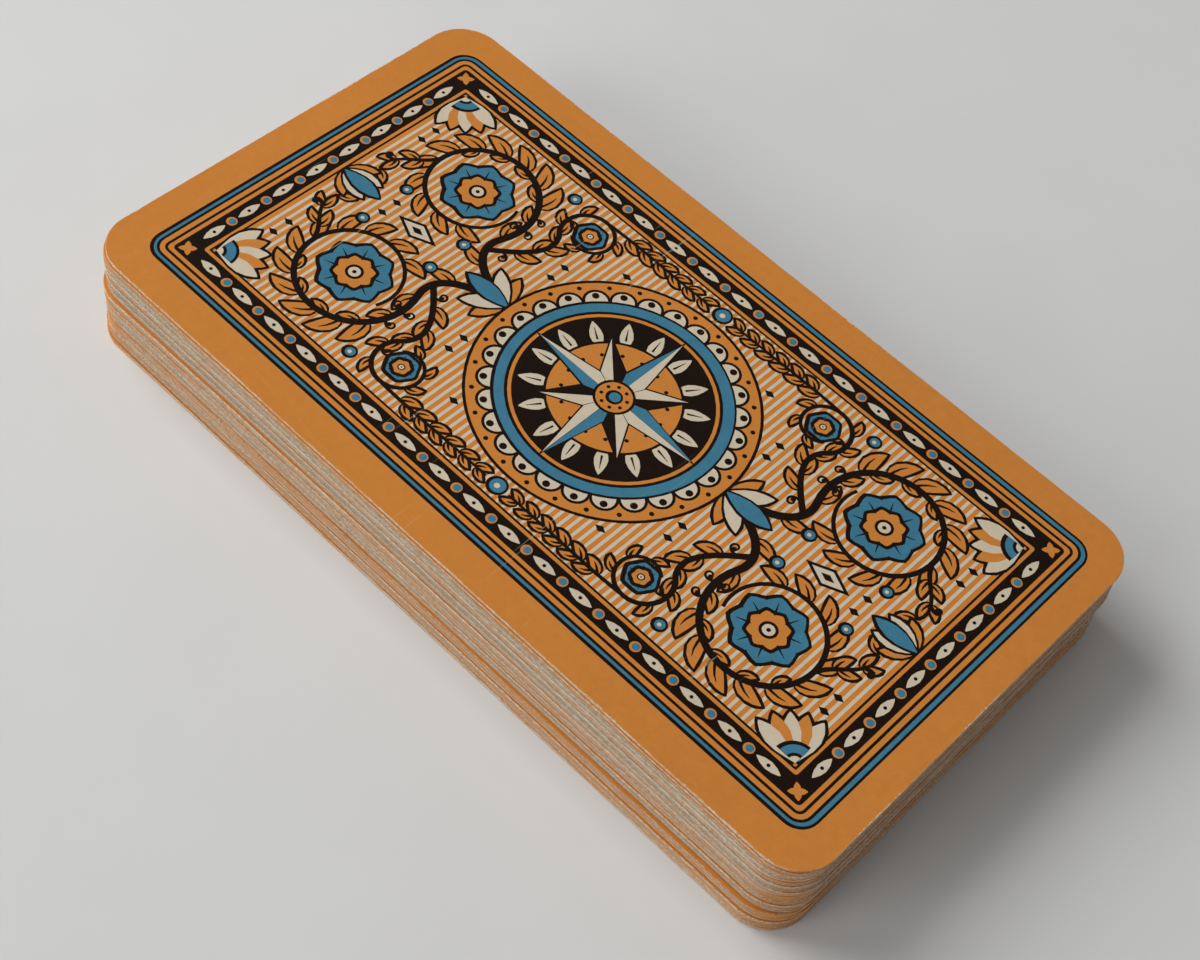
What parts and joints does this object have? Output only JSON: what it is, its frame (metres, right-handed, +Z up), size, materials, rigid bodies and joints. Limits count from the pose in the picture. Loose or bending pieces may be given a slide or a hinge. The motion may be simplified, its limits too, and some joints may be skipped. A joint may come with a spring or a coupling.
{
  "type": "skat card deck",
  "caption": "Squared pack of long-format skat playing cards lying face down, rounded corners, orange ornamental backs; each card slides on the one beneath to cut or spread.",
  "frame": {"origin": "middle of the bottom card's face, on the table", "axes": "+Z up through the pack, +Y along the cards' length, +X across their width"},
  "size_m": [0.0567, 0.1005, 0.0129],
  "materials": {
    "printed_card": "uncoated pasteboard, printed on both sides, worn pale edges"
  },
  "bodies": {
    "seven_of_bells": {"seven_of_bells": "printed_card"},
    "eight_of_bells": {"eight_of_bells": "printed_card"},
    "nine_of_bells": {"nine_of_bells": "printed_card"},
    "ten_of_bells": {"ten_of_bells": "printed_card"},
    "under_of_bells": {"under_of_bells": "printed_card"},
    "over_of_bells": {"over_of_bells": "printed_card"},
    "king_of_bells": {"king_of_bells": "printed_card"},
    "ace_of_bells": {"ace_of_bells": "printed_card"},
    "seven_of_hearts": {"seven_of_hearts": "printed_card"},
    "eight_of_hearts": {"eight_of_hearts": "printed_card"},
    "nine_of_hearts": {"nine_of_hearts": "printed_card"},
    "ten_of_hearts": {"ten_of_hearts": "printed_card"},
    "under_of_hearts": {"under_of_hearts": "printed_card"},
    "over_of_hearts": {"over_of_hearts": "printed_card"},
    "king_of_hearts": {"king_of_hearts": "printed_card"},
    "ace_of_hearts": {"ace_of_hearts": "printed_card"},
    "seven_of_leaves": {"seven_of_leaves": "printed_card"},
    "eight_of_leaves": {"eight_of_leaves": "printed_card"},
    "nine_of_leaves": {"nine_of_leaves": "printed_card"},
    "ten_of_leaves": {"ten_of_leaves": "printed_card"},
    "under_of_leaves": {"under_of_leaves": "printed_card"},
    "over_of_leaves": {"over_of_leaves": "printed_card"},
    "king_of_leaves": {"king_of_leaves": "printed_card"},
    "ace_of_leaves": {"ace_of_leaves": "printed_card"},
    "seven_of_acorns": {"seven_of_acorns": "printed_card"},
    "eight_of_acorns": {"eight_of_acorns": "printed_card"},
    "nine_of_acorns": {"nine_of_acorns": "printed_card"},
    "ten_of_acorns": {"ten_of_acorns": "printed_card"},
    "under_of_acorns": {"under_of_acorns": "printed_card"},
    "over_of_acorns": {"over_of_acorns": "printed_card"},
    "king_of_acorns": {"king_of_acorns": "printed_card"},
    "ace_of_acorns": {"ace_of_acorns": "printed_card"}
  },
  "joints": [
    {"name": "slide_eight_of_bells", "type": "slide", "parent": "seven_of_bells", "child": "eight_of_bells", "axis": [1, 0, 0], "range_m": [-0.028, 0.028]},
    {"name": "slide_nine_of_bells", "type": "slide", "parent": "eight_of_bells", "child": "nine_of_bells", "axis": [1, 0, 0], "range_m": [-0.028, 0.028]},
    {"name": "slide_ten_of_bells", "type": "slide", "parent": "nine_of_bells", "child": "ten_of_bells", "axis": [1, 0, 0], "range_m": [-0.028, 0.028]},
    {"name": "slide_under_of_bells", "type": "slide", "parent": "ten_of_bells", "child": "under_of_bells", "axis": [1, 0, 0], "range_m": [-0.028, 0.028]},
    {"name": "slide_over_of_bells", "type": "slide", "parent": "under_of_bells", "child": "over_of_bells", "axis": [1, 0, 0], "range_m": [-0.028, 0.028]},
    {"name": "slide_king_of_bells", "type": "slide", "parent": "over_of_bells", "child": "king_of_bells", "axis": [1, 0, 0], "range_m": [-0.028, 0.028]},
    {"name": "slide_ace_of_bells", "type": "slide", "parent": "king_of_bells", "child": "ace_of_bells", "axis": [1, 0, 0], "range_m": [-0.028, 0.028]},
    {"name": "slide_seven_of_hearts", "type": "slide", "parent": "ace_of_bells", "child": "seven_of_hearts", "axis": [1, 0, 0], "range_m": [-0.028, 0.028]},
    {"name": "slide_eight_of_hearts", "type": "slide", "parent": "seven_of_hearts", "child": "eight_of_hearts", "axis": [1, 0, 0], "range_m": [-0.028, 0.028]},
    {"name": "slide_nine_of_hearts", "type": "slide", "parent": "eight_of_hearts", "child": "nine_of_hearts", "axis": [1, 0, 0], "range_m": [-0.028, 0.028]},
    {"name": "slide_ten_of_hearts", "type": "slide", "parent": "nine_of_hearts", "child": "ten_of_hearts", "axis": [1, 0, 0], "range_m": [-0.028, 0.028]},
    {"name": "slide_under_of_hearts", "type": "slide", "parent": "ten_of_hearts", "child": "under_of_hearts", "axis": [1, 0, 0], "range_m": [-0.028, 0.028]},
    {"name": "slide_over_of_hearts", "type": "slide", "parent": "under_of_hearts", "child": "over_of_hearts", "axis": [1, 0, 0], "range_m": [-0.028, 0.028]},
    {"name": "slide_king_of_hearts", "type": "slide", "parent": "over_of_hearts", "child": "king_of_hearts", "axis": [1, 0, 0], "range_m": [-0.028, 0.028]},
    {"name": "slide_ace_of_hearts", "type": "slide", "parent": "king_of_hearts", "child": "ace_of_hearts", "axis": [1, 0, 0], "range_m": [-0.028, 0.028]},
    {"name": "slide_seven_of_leaves", "type": "slide", "parent": "ace_of_hearts", "child": "seven_of_leaves", "axis": [1, 0, 0], "range_m": [-0.028, 0.028]},
    {"name": "slide_eight_of_leaves", "type": "slide", "parent": "seven_of_leaves", "child": "eight_of_leaves", "axis": [1, 0, 0], "range_m": [-0.028, 0.028]},
    {"name": "slide_nine_of_leaves", "type": "slide", "parent": "eight_of_leaves", "child": "nine_of_leaves", "axis": [1, 0, 0], "range_m": [-0.028, 0.028]},
    {"name": "slide_ten_of_leaves", "type": "slide", "parent": "nine_of_leaves", "child": "ten_of_leaves", "axis": [1, 0, 0], "range_m": [-0.028, 0.028]},
    {"name": "slide_under_of_leaves", "type": "slide", "parent": "ten_of_leaves", "child": "under_of_leaves", "axis": [1, 0, 0], "range_m": [-0.028, 0.028]},
    {"name": "slide_over_of_leaves", "type": "slide", "parent": "under_of_leaves", "child": "over_of_leaves", "axis": [1, 0, 0], "range_m": [-0.028, 0.028]},
    {"name": "slide_king_of_leaves", "type": "slide", "parent": "over_of_leaves", "child": "king_of_leaves", "axis": [1, 0, 0], "range_m": [-0.028, 0.028]},
    {"name": "slide_ace_of_leaves", "type": "slide", "parent": "king_of_leaves", "child": "ace_of_leaves", "axis": [1, 0, 0], "range_m": [-0.028, 0.028]},
    {"name": "slide_seven_of_acorns", "type": "slide", "parent": "ace_of_leaves", "child": "seven_of_acorns", "axis": [1, 0, 0], "range_m": [-0.028, 0.028]},
    {"name": "slide_eight_of_acorns", "type": "slide", "parent": "seven_of_acorns", "child": "eight_of_acorns", "axis": [1, 0, 0], "range_m": [-0.028, 0.028]},
    {"name": "slide_nine_of_acorns", "type": "slide", "parent": "eight_of_acorns", "child": "nine_of_acorns", "axis": [1, 0, 0], "range_m": [-0.028, 0.028]},
    {"name": "slide_ten_of_acorns", "type": "slide", "parent": "nine_of_acorns", "child": "ten_of_acorns", "axis": [1, 0, 0], "range_m": [-0.028, 0.028]},
    {"name": "slide_under_of_acorns", "type": "slide", "parent": "ten_of_acorns", "child": "under_of_acorns", "axis": [1, 0, 0], "range_m": [-0.028, 0.028]},
    {"name": "slide_over_of_acorns", "type": "slide", "parent": "under_of_acorns", "child": "over_of_acorns", "axis": [1, 0, 0], "range_m": [-0.028, 0.028]},
    {"name": "slide_king_of_acorns", "type": "slide", "parent": "over_of_acorns", "child": "king_of_acorns", "axis": [1, 0, 0], "range_m": [-0.028, 0.028]},
    {"name": "slide_ace_of_acorns", "type": "slide", "parent": "king_of_acorns", "child": "ace_of_acorns", "axis": [1, 0, 0], "range_m": [-0.028, 0.028]}
  ]
}
